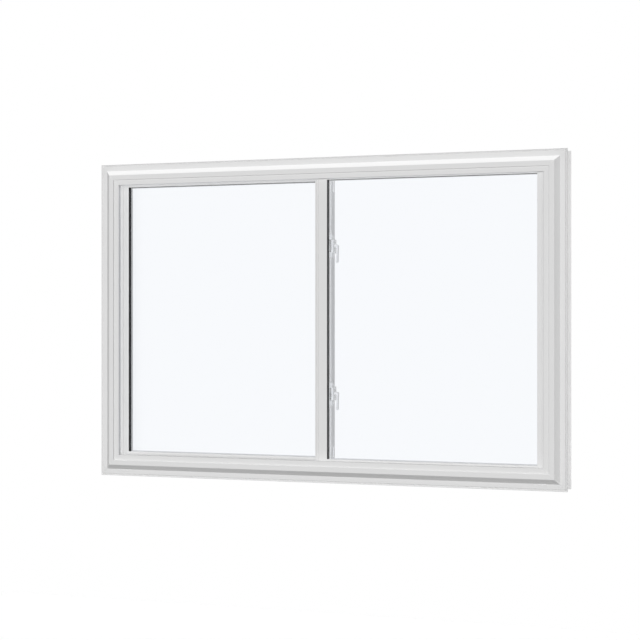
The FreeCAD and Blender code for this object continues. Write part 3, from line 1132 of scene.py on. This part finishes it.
LAMPS = (
    Lamp("front_fill", (0.08, -1.0, 0.4), 2.05, shadow=False),
    Lamp("straight", (0.02, -1.0, 0.03), 0.58, angle=6.0),
    Lamp("key", (0.45, -0.89, 0.05), 0.33, angle=14.0),
    Lamp("right_fill", (1.0, -0.1, 0.0), 0.16),
    Lamp("low_fill", (0.0, -0.1, -1.0), 0.26, shadow=False),
    Lamp("rear_low", (0.0, 0.53, -0.848), 2.0),
    Lamp("top", (0.0, 0.01, 1.0), 1.8, angle=8.0),
    Lamp("rear_right", (0.7, 0.71, 0.0), 1.55),
    Lamp("rear_left", (-0.7, 0.71, 0.0), 1.0),
)


@dataclass
class Studio:
    """The floor, the lamps, the white surroundings and the camera."""

    place: Triple = (1.3837, -4.2794, 0.4875)
    turn: float = 18.30
    lens: float = 81.19
    sensor: float = 36.0
    sight: float = 200.0
    ambient: float = 0.08
    sill_height: float = 1.0
    floor_reach: float = 5.5
    floor_colour: Triple = (0.9, 0.9, 0.9)
    floor_glow: float = 0.16
    floor_bounce: Triple = (0.05, 0.05, 0.05)

    def camera(self) -> None:
        """Stands the camera at the photograph's place, level with the middle of the window."""
        data = bpy.data.cameras.new("camera")
        data.lens, data.sensor_width, data.clip_end = self.lens, self.sensor, self.sight
        camera = bpy.data.objects.new("camera", data)
        camera.location = self.place
        camera.rotation_euler = (math.radians(90), 0.0, math.radians(self.turn))
        bpy.context.scene.collection.objects.link(camera)
        bpy.context.scene.camera = camera

    def surroundings(self) -> None:
        """Fills the world: white where the camera, glass or gloss sees it, dim as a light."""
        world = bpy.data.worlds.new("white_surroundings")
        bpy.context.scene.world = world
        shader = Shader(world, "ShaderNodeOutputWorld")
        dim, bright = (
            shader.node("ShaderNodeBackground", {}, {"Color": (*WHITE, 1.0), "Strength": strength})
            for strength in (self.ambient, 1.0))
        shader.finish(shader.mix(shader.ray("Diffuse Depth") < 0.5, dim, bright))

    def floor(self) -> None:
        """Lays the pale floor, as far below the window as a sill stands above one."""
        height = CAD_BOX[0][2] - self.sill_height
        bpy.ops.object.select_all(action="DESELECT")
        bpy.ops.mesh.primitive_plane_add(size=self.floor_reach, location=(0, 0, height))
        floor = bpy.context.object
        floor.name = "floor"
        # The rear_low lamp stands below the floor and has to pass it.
        floor.visible_shadow = False
        made = bpy.data.materials.new("pale_floor")
        shader = Shader(made)
        matte, dark = (
            shader.node("ShaderNodeBsdfDiffuse", {}, {"Color": (*colour, 1.0)})
            for colour in (self.floor_colour, self.floor_bounce))
        glow = shader.node(
            "ShaderNodeEmission", {}, {"Color": (*WHITE, 1.0), "Strength": self.floor_glow})
        seen = shader.node("ShaderNodeAddShader", {}, {0: matte, 1: glow})
        shader.finish(shader.mix(shader.ray("Diffuse Depth"), seen, dark))
        floor.data.materials.append(made)

    def build(self) -> None:
        """Sets the whole studio up."""
        bpy.context.scene.view_settings.view_transform = "Standard"
        self.camera()
        self.surroundings()
        for lamp in LAMPS:
            lamp.light()
        self.floor()


def dress_nodes(palette: Palette) -> None:
    """Gives every node of the frame the finish of its slot.

    Args:
        palette: The materials.
    """
    for part in frame["record"]["subparts"]:
        node = frame["nodes"][part["node"]]
        node.data.materials.clear()
        node.data.materials.append(palette.for_node(part["node"], Slot(part["material_slot"])))
    LOG.info("dressed %d nodes", len(frame["nodes"]))


def main() -> None:
    """Builds the scene in order and reports each piece."""
    logging.basicConfig(level=logging.INFO)
    palette = Palette()
    vinyl, enamel, pile = (palette.slots[s] for s in (Slot.VINYL, Slot.ENAMEL, Slot.PILE))
    dress_nodes(palette)
    for name in ("lower", "upper"):
        lock = Lock(name)
        lock.screws(enamel)
        lock.grip(enamel)
    for sash in SASHES:
        GlazingLip().build(sash, palette.lip)
        WeldSeams().sash(sash, vinyl)
        Weatherstrips().ring(sash, pile)
    Weatherstrips().meeting(pile)
    WeldSeams().frame(vinyl)
    WeepCovers().build(vinyl)
    JambFittings().build(palette.zinc, palette.slots[Slot.NYLON])
    Studio().build()


if __name__ == "__main__":
    main()
